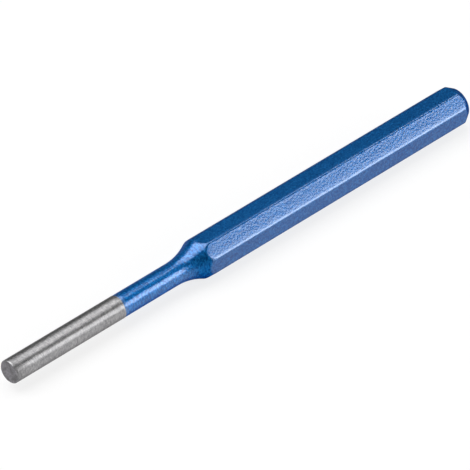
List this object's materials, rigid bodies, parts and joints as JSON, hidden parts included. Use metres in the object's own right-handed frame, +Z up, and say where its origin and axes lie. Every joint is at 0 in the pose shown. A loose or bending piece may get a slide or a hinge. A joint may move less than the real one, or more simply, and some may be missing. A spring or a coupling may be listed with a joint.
{
  "type": "pin punch",
  "caption": "Steel pin punch: a parallel ground pin that flares into an octagonal shank with a chamfered striking head, lacquered blue behind the bare pin.",
  "frame": {"origin": "on the surface that the punch lies on, under the middle of its length and under its axis", "axes": "+X runs along the punch from the tip to the striking head, +Z is up; the punch lies on one flat of its shank"},
  "size_m": [0.15, 0.0102, 0.0101],
  "materials": {
    "bare_steel": "fine ground, marks running round the pin",
    "blue_lacquer": "metallic blue lacquer, semi-gloss"
  },
  "bodies": {
    "root": {"punch_body": "bare_steel", "lacquer_coat": "blue_lacquer"}
  },
  "joints": []
}
